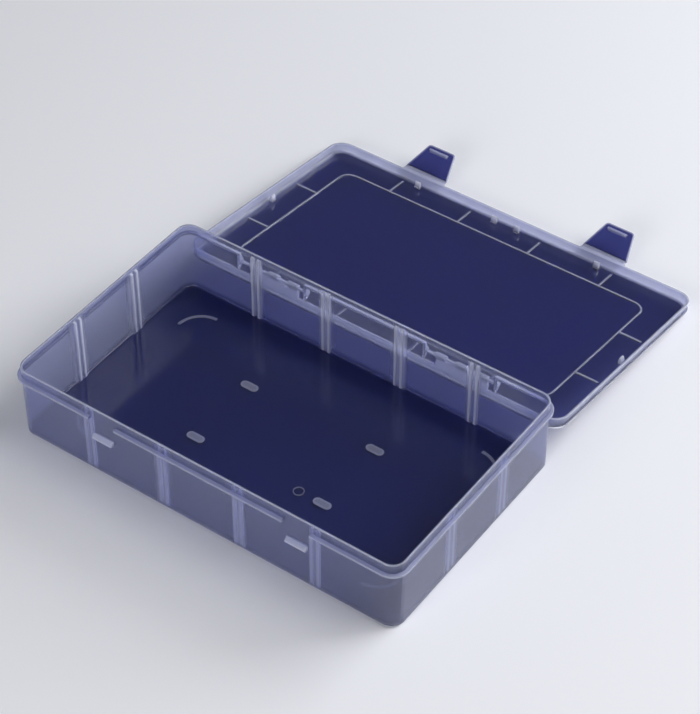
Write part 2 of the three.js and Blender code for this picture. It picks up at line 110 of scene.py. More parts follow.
# Catches and hinges of the tray
LATCH_X = 58.9
CATCH_WIDTH = 12.4
CATCH_GAP = 16.0
CATCH_LOW = 25.7
CATCH_OUT = 2.3
CATCH_NOSE = 1.0
CATCH_HEIGHT = 3.0
CATCH_ROUND = 0.12
CATCH_BEND = 0.15
CATCH_BEND_BELOW = 0.1
HINGE_X = 59.0
HINGE_GAP = 41.8
EAR_WIDTH = 1.4
EAR_NOSE = 1.9
EAR_FOOT = 2.2
PIVOT = (71.3, 32.3)
PIN_RADIUS = 0.85
PIN_ROOT_ROWS = (0, 0.15, 0.35, 0.6)
PIN_ROOT_EXTRA = 0.25

# Marks under the tray's floor
FOOT_RADIUS = 14.5
FOOT_WIDTH = 1.6
FOOT_CENTRE = (84.5, 38.5)
OVAL = (10.4, 4.8)
OVAL_RIM = 1.1
OVAL_HEIGHT = 0.3
OVAL_X = 39.6
OVAL_Y = 22.65
MARK_X = 25.2
MARK_RADIUS = 3.0
MARK_RIM = 0.5
MARK_HEIGHT = 0.2
MARK_TOP = FLOOR_TOP - 0.15
BAND_ROUND_SHARE = 0.35

# Lid, as it lies when closed
LID_HALF_X = 117.3
LID_HALF_Y = 70.8
LID_RADIUS = 9.3
LID_TOP = 45.9
LID_CEILING = 44.6
LID_ROUND = 1.8
LID_FILLET = 1.0
SKIRT = 1.2
SKIRT_EDGE = 39.1
SKIRT_ROUND = 0.25
SKIRT_INNER_ROUND = 0.15
FRAME_INSET = 18.4
FRAME_RADIUS = 7.5
LID_RIB_WIDTH = 1.3
LID_RIB_HEIGHT = 0.7
TICK_START = 5.3
LUG_WIDTH = 3.4
LUG_INSET = 3.65
LUG_DEPTH = 2.4
LUG_HEIGHT = 4.0
LUG_TIP = 0.8
LUG_ROOT = 0.05
LUG_X = 7.4
ARM_WIDTH = 31.4
ARM_EDGE = 34.2
KNUCKLES = 3
KNUCKLE_WIDTH = 6.2
KNUCKLE_BEVEL = 0.12
KNUCKLE_OUTER = 1.9
KNUCKLE_BORE = 1.05
KNUCKLE_FROM = 70.0
KNUCKLE_TO = 330.0
LEDGE_OUT = 1.8
LEDGE_HEIGHT = 1.3
LEDGE_START = 0.1
LEDGE_ROUND = 0.2

# Rows of the lid's surface, and the anchors that stay in place as its outline moves in
LID_TOP_ROWS = (6, 4, 2.6)
LID_CEILING_ROWS = (2.7, 8, 10.5, 13, 15.5, 17.8, FRAME_INSET + 2)
ABOVE_LEDGE = 0.4
EDGE_BAND = 0.6
FRAME_SPAN = 4
LID_KEPT = (75, 30)

# Latch flaps, lying flat with the hinge line on the X axis
FLAP_BASE = 27.6
FLAP_TIP = 17.4
FLAP_LENGTH = 18.5
FLAP_THICKNESS = 1.2
FLAP_CORNER = 2.4
FLAP_BASE_CORNER = 0.5
FLAP_ROUND = 0.3
WEB_REACH = 0.65
WEB_THICKNESS = 0.4
WEB_THINNING = 0.25
WEB_SHORT = 0.2
HOOK_WIDTH = 11.6
HOOK_NEAR = 13.7
HOOK_FAR = 16.1
HOOK_TIP = 1.2
HOOK_HEIGHT = 2.8
HOOK_BEVEL = 0.3
FLAP_FOLD = math.radians(29.5)

LID_OPEN = math.radians(187.7034)
FLAP_HINGE = (-(LID_HALF_Y + LEDGE_OUT + WEB_REACH), SKIRT_EDGE)

# Smoothness
FLANK = 0.14
STRAIGHT_STEP = 4.0
FLANK_SHARES = np.array([-1, -0.5, 0, 0.5, 1])
CORNER_STEPS = 24
ROUND_STEPS = 5
LID_ROUND_STEPS = 7
RIM_STEPS = 4
FEW_STEPS = 3
RIB_SLOPE_STEPS = 6
EAR_NOSE_STEPS = 5
KNUCKLE_STEPS = (5, 20, 26)
PIN_STEPS = 40
FOOT_STEPS = 25
HALF_ROUND_STEPS = 17
FLAP_CORNER_STEPS = 13
FLAP_BASE_STEPS = 7
WEB_STEPS = 13
SEAM = 0.01
SHARP_ANGLE = math.radians(42)
BEVEL_ANGLE = math.radians(35)

# How milky the plastic is: 0 is clear and 1 is as milky as its thickest edges; the lip's and the
# bottom round's values also paint highlight lines
EVEN = 0.05
SKIRT_EVEN = 0.45
FEATURE_PALE = 0.8
FEATURE_STAND = 0.05
# The lip's rounds are milkier than its middle: painted highlight lines, on top of the thick edge's
# own milkiness
LIP_EDGE_MILK_AND_HIGHLIGHT = 0.55
LIP_SHARE_BETWEEN_HIGHLIGHTS = 0.4
FLANGE_PALE = 0.5
RIB_PALE = 0.8
RIB_BACK_PALE = 0.35
RIB_OVERHANG = 2.2 * FLANK
RIM_PALE = 0.7
LID_ROUND_PALE = 0.35
LEDGE_PALE = 0.5
LID_RIB_PALE = 0.5
FLAP_RIM_PALE = 0.8
FLAP_FADE = ((0.7, EVEN), (0.4, 0.6))
WEB_PALE = 0.5
BOTTOM_EDGE_HIGHLIGHT = 0.8
MARK_PALE = 1
HEART_PALE = 0.9
ROUND_MARK_PALE = 0.85
HOOK_PALE = 0.5

# Painted shade: how much of the plates' deep tint the floor's fillet has, which keeps the foot of
# the walls dark
FILLET_PAINTED_SHADE = 0.7

# Painted light: the back wall is clearer and paler in front of the hinges, where they show lit
# through it
PAINTED_HINGE_LIGHT = 0.45
WINDOW_REACH = (90.0, 107.0)
WINDOW_RISE = (20.0, 29.0)

# Plastic; flow marks are noise by scale and detail, scuffs by scale, detail and roughness
REFRACTION = 1.49
BARE_CLEARNESS = 0.994
SCATTER_DEPTH = 0.004
NOISE_SPAN = (0.3, 0.7)
FLOW_MARKS = (14, 2)
SCUFFS = (160, 6, 0.65)
GLOSS_SPREAD = (0.85, 1.2)

# Stage, in metres; each lamp has a place, a width, a share of the key power and a colour
STAGE_MIDDLE = (0, 0.07, 0.02)
LAMPS = {
    "side": ((1.0, 0.5, 1.3), 1.2, 0.5, (1, 1, 1)),
    "back": ((0.9, 1.7, 0.75), 1.6, 1.7, (0.9, 0.92, 1)),
    "front": ((0.1, -1.7, 0.65), 0.9, 0.6, (1, 1, 1)),
}
SKY_COLOUR = (0.88, 0.92, 1, 1)
FLOOR_DROP = 0.0003
FLOOR_TONE = 3
FLOOR_LIGHTER = 1.02
FLOOR_ROUGHNESS = 0.9
FLOOR_SPECULAR = 0.1

# Camera: its turn, and its place in metres along its own right, up and back directions
AZIMUTH = math.radians(35.3153)
ELEVATION = math.radians(43.6568)
ROLL = math.radians(0.1086)
CAMERA_PLACE = (0.03303, 0.04414, 1.21016)
SENSOR_WIDTH = 36
HALF_PIXEL = 0.5 / 714
CLIP_END = 50


def ramp(x, low, high):
    """0 below low and 1 above high, with an S-shaped rise between them: 3t^2 - 2t^3."""
    t = np.clip((x - low) / (high - low), 0, 1)
    return t * t * (3 - 2 * t)


def pulse(x, middle, width):
    """1 within width of the middle and 0 outside, with S-shaped flanks on both edges."""
    rise = ramp(x, middle - width / 2 - FLANK, middle - width / 2 + FLANK)
    return rise * (1 - ramp(x, middle + width / 2 - FLANK, middle + width / 2 + FLANK))


def quarter(radius, steps=ROUND_STEPS):
    """A quarter circle as distances in from the two faces that it rounds.

    It runs from (0, radius) to (radius, 0).
    """
    angle = np.linspace(0, np.pi / 2, steps + 1)
    return radius * (1 - np.sin(angle)), radius * (1 - np.cos(angle))


def side_coordinates(reach, edges):
    """Coordinates from -reach to reach, with extra ones on the flanks of each feature's edges."""
    count = int(2 * reach / STRAIGHT_STEP) + 1
    flanks = np.add.outer(np.array(edges, float), FLANK * FLANK_SHARES).ravel()
    both = np.concatenate([np.linspace(-reach, reach, count), flanks])
    both = np.sort(both[np.abs(both) <= reach])
    return both[np.concatenate([[True], np.diff(both) > FLANK / 4])]


class Plan:
    """Samples round a rounded rectangle, anticlockwise from the right side's lower end.

    Each sample is an anchor on the rectangle of corner centres, an outward normal and the side
    it is on: 0 right, 1 back, 2 left, 3 front, and -1 on a corner.
    """

    def __init__(self, half_x, half_y, radius, edges, keep):
        self.half = np.array([half_x, half_y])
        self.radius = radius
        self.keep = np.array(keep)
        self.reach = self.half - radius
        reach_x, reach_y = self.reach
        turn = np.linspace(0, np.pi / 2, CORNER_STEPS + 1)[1:-1]
        right = side_coordinates(reach_y, edges["right"])
        back = side_coordinates(reach_x, edges["back"])[::-1]
        left = side_coordinates(reach_y, edges["left"])[::-1]
        front = side_coordinates(reach_x, edges["front"])
        runs = [
            (reach_x, right, 0, 0),
            (reach_x, reach_y, turn, -1),
            (back, reach_y, np.pi / 2, 1),
            (-reach_x, reach_y, turn + np.pi / 2, -1),
            (-reach_x, left, np.pi, 2),
            (-reach_x, -reach_y, turn + np.pi, -1),
            (front, -reach_y, 3 * np.pi / 2, 3),
            (reach_x, -reach_y, turn + 3 * np.pi / 2, -1),
        ]
        runs = [np.broadcast_arrays(*run) for run in runs]
        x, y, angle, side = (np.concatenate(column) for column in zip(*runs))
        self.anchor = np.column_stack([x, y])
        self.normal = np.column_stack([np.cos(angle), np.sin(angle)])
        self.side = side

    def pulses(self, side, middles, width):
        """The largest of the pulses about the given middles, on one side only."""
        along = self.anchor[:, 0] if side in (1, 3) else self.anchor[:, 1]
        waves = np.max([pulse(along, middle, width) for middle in middles], axis=0)
        return waves * (self.side == side)

    def all_pulses(self, along_x, along_y, width):
        """Pulses on all four sides: along X on the long ones and along Y on the short ones."""
        places = (along_y, along_x, along_y, along_x)
        waves = [self.pulses(side, middles, width) for side, middles in enumerate(places)]
        return np.max(waves, axis=0)

    def row(self, points, *values):
        """One row of a surface: points in plan with their height and how the skin looks there."""
        return np.column_stack([points, *[np.broadcast_to(v, self.side.shape) for v in values]])

    def ring(self, inset, radius, height, pale=0, deep=0, bare=0):
        """The outline moved in by an inset and rounded by a radius: anchor + radius times normal.

        Anchors within the kept span stay where they are, and those beyond it are drawn in evenly.
        """
        reach = self.half - inset - radius
        size = np.abs(self.anchor)
        near = np.minimum(size, self.keep)
        beyond = (size - near) * (reach - self.keep) / (self.reach - self.keep)
        anchor = np.sign(self.anchor) * (near + beyond)
        return self.row(anchor + radius * self.normal, height, pale, deep, bare)

    def offset(self, out, height, pale=0, deep=0, bare=0):
        """The outline moved out at each sample: anchor + (radius + out) times normal."""
        out = np.broadcast_to(out, self.side.shape)
        points = self.anchor + (self.radius + out)[:, None] * self.normal
        return self.row(points, height, pale, deep, bare)


def lathe_faces(rows, columns):
    """Quads between the rows of a grid whose columns run round, and a flat cap at each end."""
    index = np.arange(rows * columns).reshape(rows, columns)
    beside = np.roll(index, -1, axis=1)
    quads = np.stack([index[:-1], beside[:-1], beside[1:], index[1:]], axis=-1).reshape(-1, 4)
    return [*quads.tolist(), index[0, ::-1].tolist(), index[-1].tolist()]


def facing_out(points, faces):
    """The faces of a closed body, all turned round if they face inwards.

    The sign of the volume tells it: the sum of a . (b x c) over fans of triangles is six times
    the volume.
    """
    fans = [(face[0], *pair) for face in faces for pair in zip(face[1:], face[2:])]
    fans = np.array(fans)
    a, b, c = points[fans[:, 0]], points[fans[:, 1]], points[fans[:, 2]]
    inside_out = np.einsum("ij,ij->i", a, np.cross(b, c)).sum() < 0
    return [face[::-1] for face in faces] if inside_out else faces


def joined(parts):
    """Several closed (points, faces) pairs as one, with the face numbers moved on."""
    points, faces, start = [], [], 0
    for part_points, part_faces in parts:
        points.append(part_points)
        faces.extend([[start + i for i in face] for face in facing_out(part_points, part_faces)])
        start += len(part_points)
    return np.concatenate(points), faces


def add_piece(name, points, faces, material, slot, pale=0, deep=0, bare=0):
    """A mesh object in metres from points in millimetres, smooth but for its sharp edges.

    Three attributes say at each point how the skin looks, from 0 to 1: pale is how milky it is,
    as on thick edges, and in places painted light and highlight lines; deep is how much of a wide
    plate's tint it has, and at the foot of the walls painted shade; and bare is how clear and
    colourless it is, which in front of the hinges is painted light.
    """
    mesh = bpy.data.meshes.new(name)
    mesh.from_pydata((points * MM).tolist(), [], facing_out(points, faces))
    mesh.validate()
    mesh.update()
    mesh.shade_smooth()
    mesh.set_sharp_from_angle(angle=SHARP_ANGLE)
    for label, values in (("pale", pale), ("deep", deep), ("bare", bare)):
        attribute = mesh.attributes.new(label, "FLOAT", "POINT")
        levels = np.broadcast_to(values, len(points)).astype(np.float32)
        attribute.data.foreach_set("value", levels)
    mesh.materials.append(material)
    piece = bpy.data.objects.new(name, mesh)
    bpy.context.scene.collection.objects.link(piece)
    return piece


def soften(piece, width, segments=2):
    """Rounds a piece's sharp edges by a narrow bevel."""
    bevel = piece.modifiers.new("soft_edges", "BEVEL")
    bevel.width = width * MM
    bevel.segments = segments
    bevel.limit_method = "ANGLE"
    bevel.angle_limit = BEVEL_ANGLE


def prism(outline, low, high):
    """A closed outline in Y and Z, carried straight along X from low to high and capped."""
    start = np.column_stack([np.full(len(outline), low), outline])
    end = np.column_stack([np.full(len(outline), high), outline])
    return np.concatenate([start, end]), lathe_faces(2, len(outline))


def flat_disc(outline, low, high):
    """A closed outline in X and Y, carried straight up from low to high and capped."""
    rows = [np.column_stack([outline, np.full(len(outline), z)]) for z in (low, high)]
    return np.concatenate(rows), lathe_faces(2, len(outline))


def turned(points, angle, pivot):
    """Points turned about an axis along X through a pivot in Y and Z."""
    y = points[:, 1] - pivot[0]
    z = points[:, 2] - pivot[1]
    c, s = math.cos(angle), math.sin(angle)
    return np.column_stack([points[:, 0], pivot[0] + y * c - z * s, pivot[1] + y * s + z * c])


def opened(points):
    """Points of the closed lid, turned about the hinge to where the lid lies open."""
    return turned(points, -LID_OPEN, PIVOT)


def latched(points, side):
    """Points of a flat flap, folded by its rest angle, put on the hinge line and opened."""
    folded = turned(points, FLAP_FOLD, (0, 0))
    return opened(folded + np.array([side * LATCH_X, *FLAP_HINGE]))


def divider_places():
    """Middles of the divider slots along X and along Y."""
    along_x = (np.arange(1, CELLS_X) / CELLS_X - 0.5) * 2 * (TRAY_HALF_X - WALL)
    along_y = (np.arange(1, CELLS_Y) / CELLS_Y - 0.5) * 2 * (TRAY_HALF_Y - WALL)
    return along_x, along_y


def both_edges(middles, width):
    """The two edges of each span of a width about its middle."""
    return [m + sign * width / 2 for m in middles for sign in (-1, 1)]


def rib_middles(slots):
    """The middles of the two ribs beside each divider slot."""
    return [slot + sign * (SLOT + RIB_WIDTH) / 2 for slot in slots for sign in (-1, 1)]


def tray_surface():
    """The tray as one closed surface: a wall profile carried round a rounded rectangle.

    Its two parameters are the place round the outline and the place along the profile, which runs
    from the underside up the outer face, over the flange and the lip, and down the inner face to
    the floor. Pulses along the outline add the catches, hinge ears, flange gaps and slot ribs as
    steps in or out.
    """
    ribs_x, ribs_y = (rib_middles(slots) for slots in divider_places())
    latches = [-LATCH_X, LATCH_X]
    hinges = [-HINGE_X, HINGE_X]
    ears = [m + sign * (HINGE_GAP + EAR_WIDTH) / 2 for m in hinges for sign in (-1, 1)]
    plan = Plan(
        TRAY_HALF_X,
        TRAY_HALF_Y,
        TRAY_RADIUS,
        {
            "right": both_edges(ribs_y, RIB_WIDTH),
            "left": both_edges(ribs_y, RIB_WIDTH),
            "back": both_edges(ribs_x, RIB_WIDTH) + both_edges(ears, EAR_WIDTH),
            "front": both_edges(ribs_x, RIB_WIDTH)
            + both_edges(latches, CATCH_WIDTH)
            + both_edges(latches, CATCH_GAP),
        },
        (0, 0),
    )
    offset = plan.offset
    rib = plan.all_pulses(ribs_x, ribs_y, RIB_WIDTH)
    pale_rib = plan.all_pulses(ribs_x, ribs_y, RIB_WIDTH + RIB_OVERHANG)
    catch = plan.pulses(3, latches, CATCH_WIDTH)
    ear = plan.pulses(1, ears, EAR_WIDTH)
    gaps = np.maximum(plan.pulses(3, latches, CATCH_GAP), plan.pulses(1, hinges, HINGE_GAP))
    flange = 1 - gaps
    # painted light: on the back, hinge side the flange is made fully milky so it looks lit;
    # elsewhere it keeps its own lesser milkiness
    flange_milk_and_light = np.where(plan.side == 1, 1, FLANGE_PALE) * flange
    wall_pale = np.maximum(EVEN, RIB_BACK_PALE * pale_rib)
    rib_pale = EVEN + (RIB_PALE - EVEN) * pale_rib
    along_back = (1 - ramp(np.abs(plan.anchor[:, 0]), *WINDOW_REACH)) * (plan.side == 1)

    nose = np.linspace(-np.pi / 4, 0, EAR_NOSE_STEPS)
    ear_foot = PIVOT[1] - EAR_NOSE - EAR_FOOT
    ear_heights = np.array([ear_foot, *(PIVOT[1] + EAR_NOSE * np.sin(nose)), FLANGE_LOW])
    ear_reach = [0, *(PIVOT[0] - TRAY_HALF_Y + EAR_NOSE * np.cos(nose)), FLANGE_OUT]
    catch_profile = np.array(
        [
            [-SEAM, 0],
            [0, CATCH_OUT - CATCH_ROUND],
            [CATCH_ROUND, CATCH_OUT],
            [CATCH_NOSE - CATCH_BEND_BELOW, CATCH_OUT],
            [CATCH_NOSE + CATCH_BEND, CATCH_OUT - CATCH_BEND],
            [CATCH_HEIGHT, 0],
        ]
    )
    catch_heights, catch_reach = CATCH_LOW + catch_profile[:, 0], catch_profile[:, 1]

    # painted light: how much clearer and paler the back wall is made in front of the hinges
    def hinge_light_window(height):
        return PAINTED_HINGE_LIGHT * along_back * ramp(height, *WINDOW_RISE)

    def lean(height):
        foot = UNDERSIDE + BOTTOM_ROUND
        return LEAN * (1 - np.clip((height - foot) / (FLANGE_LOW - foot), 0, 1))

    rows = [offset(-LEAN - inset, UNDERSIDE, 0, 1) for inset in UNDERSIDE_ROWS]
    # painted highlight and painted shade: the bottom round is milky up its side, drawing a light
    # line along the wall's foot, and takes the plates' deep tint towards the underside, which
    # keeps that foot dark
    for inset, rise in zip(*quarter(BOTTOM_ROUND)):
        deep = inset / BOTTOM_ROUND
        rows.append(offset(-LEAN - inset, UNDERSIDE + rise, BOTTOM_EDGE_HIGHLIGHT * (1 - deep), deep))
    rows.append(offset(-LEAN, UNDERSIDE + BOTTOM_ROUND + ABOVE_BOTTOM, EVEN))
    heights = [OUTER_ROWS, catch_heights, ear_heights, [FLANGE_LOW - SEAM]]
    heights = np.unique(np.concatenate(heights))
    for height in heights[heights < FLANGE_LOW]:
        reach = np.maximum(
            catch * np.interp(height, catch_heights, catch_reach, 0, 0),
            ear * np.interp(height, ear_heights, ear_reach, 0, 0),
        )
        pale = np.maximum(wall_pale, np.where(reach > FEATURE_STAND, FEATURE_PALE, 0))
        rows.append(offset(reach - lean(height), height, pale, 0, hinge_light_window(height)))
    inset, step = quarter(FLANGE_ROUND, FEW_STEPS)
    for i, up in zip(inset, step):
        out = SEAM + flange * (FLANGE_OUT - SEAM - i)
        rows.append(offset(np.maximum(out, ear * FLANGE_OUT), FLANGE_LOW + up, flange_milk_and_light))
    for i, down in zip(inset[::-1], step[::-1]):
        out = SEAM + flange * (FLANGE_OUT - SEAM - i)
        rows.append(offset(out, FLANGE_HIGH - down, flange_milk_and_light))
    rows.append(offset(0, FLANGE_HIGH + SEAM, flange_milk_and_light))
    rows.append(offset(0, FLANGE_HIGH + ABOVE_FLANGE, EVEN, 0, hinge_light_window(FLANGE_HIGH)))
    inset, drop = quarter(LIP_ROUND)
    below_lip = (LIP_TOP - BELOW_LIP, EVEN, 0, hinge_light_window(LIP_TOP))
    rows.append(offset(0, *below_lip))
    # painted highlight: milky inner and outer rounds with a clearer middle draw two light lines
    # along the lip's top
    rows += [offset(-i, LIP_TOP - d, LIP_EDGE_MILK_AND_HIGHLIGHT) for i, d in zip(inset[::-1], drop[::-1])]
    rows.append(offset(-WALL / 2, LIP_TOP, LIP_EDGE_MILK_AND_HIGHLIGHT * LIP_SHARE_BETWEEN_HIGHLIGHTS))
    rows += [offset(i - WALL, LIP_TOP - d, LIP_EDGE_MILK_AND_HIGHLIGHT) for i, d in zip(inset, drop)]
    rows.append(offset(-WALL, *below_lip))
    rib_face = WALL + LEAN + RIB_DEPTH
    rib_tops = RIB_TOP - RIB_SLOPE * np.linspace(0, 1, RIB_SLOPE_STEPS)
    for height in [RIB_TOP + ABOVE_RIB, *rib_tops, *INNER_ROWS]:
        stand = rib * ramp(RIB_TOP - height, 0, RIB_SLOPE)
        out = -((WALL + lean(height)) * (1 - stand) + rib_face * stand)
        pale = rib_pale if height <= RIB_TOP + SEAM else EVEN
        rows.append(offset(out, height, pale, 0, hinge_light_window(height)))
    inset, rise = quarter(FLOOR_FILLET)
    for i, r in zip(inset[::-1], rise[::-1]):
        face = WALL + LEAN + i
        out = -(face * (1 - rib) + max(rib_face, face) * rib)
        # painted shade: the floor's fillet takes part of the plates' deep tint
        rows.append(offset(out, FLOOR_TOP + r, rib_pale, FILLET_PAINTED_SHADE))
    rows += [offset(-rib_face - step, FLOOR_TOP, 0, 0, 1) for step in FLOOR_ROWS]
    grid = np.stack(rows)
    return grid.reshape(-1, grid.shape[2]), lathe_faces(*grid.shape[:2])


def lid_surface():
    """The lid as one closed surface, in its closed place: a profile carried round the outline.

    The profile runs from the middle of the top out and down the skirt, round its edge and back in
    under the plate. Pulses along the outline add the latch ledges, the hinge arms, the short ribs
    and the lugs.
    """
    ticks_x, ticks_y = divider_places()
    latches = [-LATCH_X, LATCH_X]
    hinges = [-HINGE_X, HINGE_X]
    front_lugs = [-LATCH_X, -LUG_X, LUG_X, LATCH_X]
    ends = both_edges(ticks_y, LID_RIB_WIDTH) + both_edges([0], LUG_WIDTH)
    plan = Plan(
        LID_HALF_X,
        LID_HALF_Y,
        LID_RADIUS,
        {
            "right": ends,
            "left": ends,
            "back": both_edges(ticks_x, LID_RIB_WIDTH) + both_edges(hinges, ARM_WIDTH),
            "front": both_edges(ticks_x, LID_RIB_WIDTH)
            + both_edges(front_lugs, LUG_WIDTH)
            + both_edges(latches, FLAP_BASE),
        },
        LID_KEPT,
    )
    offset = plan.offset
    tick = plan.all_pulses(ticks_x, ticks_y, LID_RIB_WIDTH)
    end_lug = plan.pulses(0, [0], LUG_WIDTH) + plan.pulses(2, [0], LUG_WIDTH)
    lug = plan.pulses(3, front_lugs, LUG_WIDTH) + end_lug
    ledge = plan.pulses(3, latches, FLAP_BASE)
    arm = plan.pulses(1, hinges, ARM_WIDTH)
    edge = SKIRT_EDGE * (1 - arm) + ARM_EDGE * arm
    # painted light: the skirt on the back, hinge side and the hinge arms are made fully milky so
    # they look lit; elsewhere the skirt keeps its own lesser milkiness
    skirt_milk_and_light = np.maximum(np.where(plan.side == 1, 1, SKIRT_EVEN), arm)
    ledge_pale = np.maximum(skirt_milk_and_light, ledge * LEDGE_PALE)

    rows = [offset(-inset, LID_TOP, 0, 1) for inset in LID_TOP_ROWS]
    inset, drop = quarter(LID_ROUND, LID_ROUND_STEPS)
    rows += [offset(-i, LID_TOP - d, LID_ROUND_PALE) for i, d in zip(inset[::-1], drop[::-1])]
    ledge_top = SKIRT_EDGE + LEDGE_HEIGHT
    rows.append(offset(0, ledge_top + ABOVE_LEDGE, skirt_milk_and_light))
    rows.append(offset(ledge * LEDGE_START, ledge_top + SEAM, skirt_milk_and_light))
    for i, d in zip(*quarter(LEDGE_ROUND, FEW_STEPS)):
        rows.append(offset(ledge * (LEDGE_OUT - i), ledge_top - d, ledge_pale))
    inset, rise = quarter(SKIRT_ROUND, RIM_STEPS)
    rows.append(offset(ledge * LEDGE_OUT, edge + EDGE_BAND, skirt_milk_and_light))
    for i, r in zip(inset[::-1], rise[::-1]):
        rows.append(offset(ledge * LEDGE_OUT - i, edge + r, RIM_PALE))
    for i, r in zip(*quarter(SKIRT_INNER_ROUND, FEW_STEPS)):
        rows.append(offset(i - SKIRT, edge + r, RIM_PALE))
    rows.append(offset(-SKIRT, np.maximum(edge, SKIRT_EDGE) + EDGE_BAND, skirt_milk_and_light))
    inset, drop = quarter(LID_FILLET)
    for i, d in zip(inset[::-1], drop[::-1]):
        rows.append(offset(-SKIRT - i, LID_CEILING - d, skirt_milk_and_light))

    tip = LUG_DEPTH / 2 + LUG_TIP / 2 * np.array([-1, 1])
    lug_insets = LUG_INSET + np.array([-LUG_ROOT, 0, *tip, LUG_DEPTH])
    lug_drops = np.array([0, LUG_HEIGHT / 2, LUG_HEIGHT, LUG_HEIGHT, 0])
    steps = np.array([TICK_START, FRAME_INSET + FLANK, FRAME_INSET + LID_RIB_WIDTH - FLANK])
    flanks = np.add.outer(steps, FLANK * FLANK_SHARES).ravel()

    def stepped(inset, step):
        return ramp(inset, step - FLANK, step + FLANK)

    for i in np.unique(np.concatenate([LID_CEILING_ROWS, lug_insets, flanks])):
        radius = np.interp(
            i,
            [SKIRT, FRAME_INSET, FRAME_INSET + FRAME_SPAN],
            [LID_RADIUS - SKIRT, FRAME_RADIUS, FRAME_RADIUS - FRAME_SPAN],
        )
        along, outer, inner = (stepped(i, step) for step in steps)
        short_rib = tick * along * (i < FRAME_INSET + LID_RIB_WIDTH / 2)
        rib_share = np.maximum(outer - inner, short_rib)
        lug_drop = lug * np.interp(i, lug_insets, lug_drops, 0, 0)
        drop = np.maximum(LID_RIB_HEIGHT * rib_share, lug_drop)
        pale = np.clip(LID_RIB_PALE * rib_share + lug_drop, 0, 1)
        bare = np.clip(1 - pale / LID_RIB_PALE, 0, 1)
        rows.append(plan.ring(i, radius, LID_CEILING - drop, pale, 0, bare))
    grid = np.stack(rows)
    return grid.reshape(-1, grid.shape[2]), lathe_faces(*grid.shape[:2])


def knuckle_outline():
    """An open ring round the hinge pin with a neck up to the arm, as points in Y and Z."""

    def arc(radius, start, end, steps):
        angle = np.radians(np.linspace(start, end, steps))
        return np.array(PIVOT) + radius * np.column_stack([np.cos(angle), np.sin(angle)])

    outer_face = LID_HALF_Y
    inner_face = LID_HALF_Y - SKIRT
    meet_outer = math.degrees(math.acos((outer_face - PIVOT[0]) / KNUCKLE_OUTER))
    meet_inner = math.degrees(math.acos((inner_face - PIVOT[0]) / KNUCKLE_OUTER))
    top = ARM_EDGE - SEAM
    above, round_pin, bore = KNUCKLE_STEPS
    return np.concatenate(
        [
            arc(KNUCKLE_OUTER, KNUCKLE_FROM, meet_outer, above),
            [[outer_face, top], [inner_face, top]],
            arc(KNUCKLE_OUTER, meet_inner, KNUCKLE_TO, round_pin),
            arc(KNUCKLE_BORE, KNUCKLE_TO, KNUCKLE_FROM, bore),
        ]
    )


def pin_surface(middle):
    """A round bar between two ears: a circle carried along X, a little wider at each ear."""
    half = HINGE_GAP / 2 - SEAM
    root = np.array(PIN_ROOT_ROWS) - half
    along = np.array([*root, -half / 2, 0, half / 2, *-root[::-1]])
    radius = PIN_RADIUS + PIN_ROOT_EXTRA * (1 - ramp(half - np.abs(along), 0, PIN_ROOT_ROWS[-1]))
    angle = np.linspace(0, 2 * np.pi, PIN_STEPS, endpoint=False)
    grid = np.stack(
        [
            np.broadcast_to((middle + along)[:, None], (along.size, angle.size)),
            PIVOT[0] + radius[:, None] * np.cos(angle),
            PIVOT[1] + radius[:, None] * np.sin(angle),
        ],
        axis=-1,
    )
    return grid.reshape(-1, 3), lathe_faces(*grid.shape[:2])


def band_surface(centre_line, normals, width, low, high, closed):
    """A flat band of a width along a line in plan, between two heights, with rounded lower edges.

    The section is carried along the line: line point + across times normal, at the section's
    heights.
    """
    inset, rise = quarter(min(width, high - low) * BAND_ROUND_SHARE, FEW_STEPS)
    across = np.concatenate([-width / 2 + inset[::-1], width / 2 - inset, [width / 2, -width / 2]])
    heights = np.concatenate([low + rise[::-1], low + rise, [high, high]])
    grid = np.empty((len(centre_line), across.size, 3))
    grid[..., :2] = centre_line[:, None, :] + across[None, :, None] * normals[:, None, :]
    grid[..., 2] = heights
    points = grid.reshape(-1, 3)
    if not closed:
        return points, lathe_faces(*grid.shape[:2])
    index = np.arange(points.shape[0]).reshape(grid.shape[:2])
    ahead, beside = np.roll(index, -1, axis=0), np.roll(index, -1, axis=1)
    both = np.roll(ahead, -1, axis=1)
    return points, np.stack([index, beside, both, ahead], axis=-1).reshape(-1, 4).tolist()


def stadium_line(length, width):
    """The outline of a strip with half-round ends, as points and outward normals."""
    radius, reach = width / 2, (length - width) / 2
    turn = np.linspace(-np.pi / 2, np.pi / 2, HALF_ROUND_STEPS)
    angle = np.concatenate([turn, turn + np.pi])
    normals = np.column_stack([np.cos(angle), np.sin(angle)])
    centres = np.zeros_like(normals)
    centres[:, 0] = np.repeat([reach, -reach], turn.size)
    return centres + radius * normals, normals


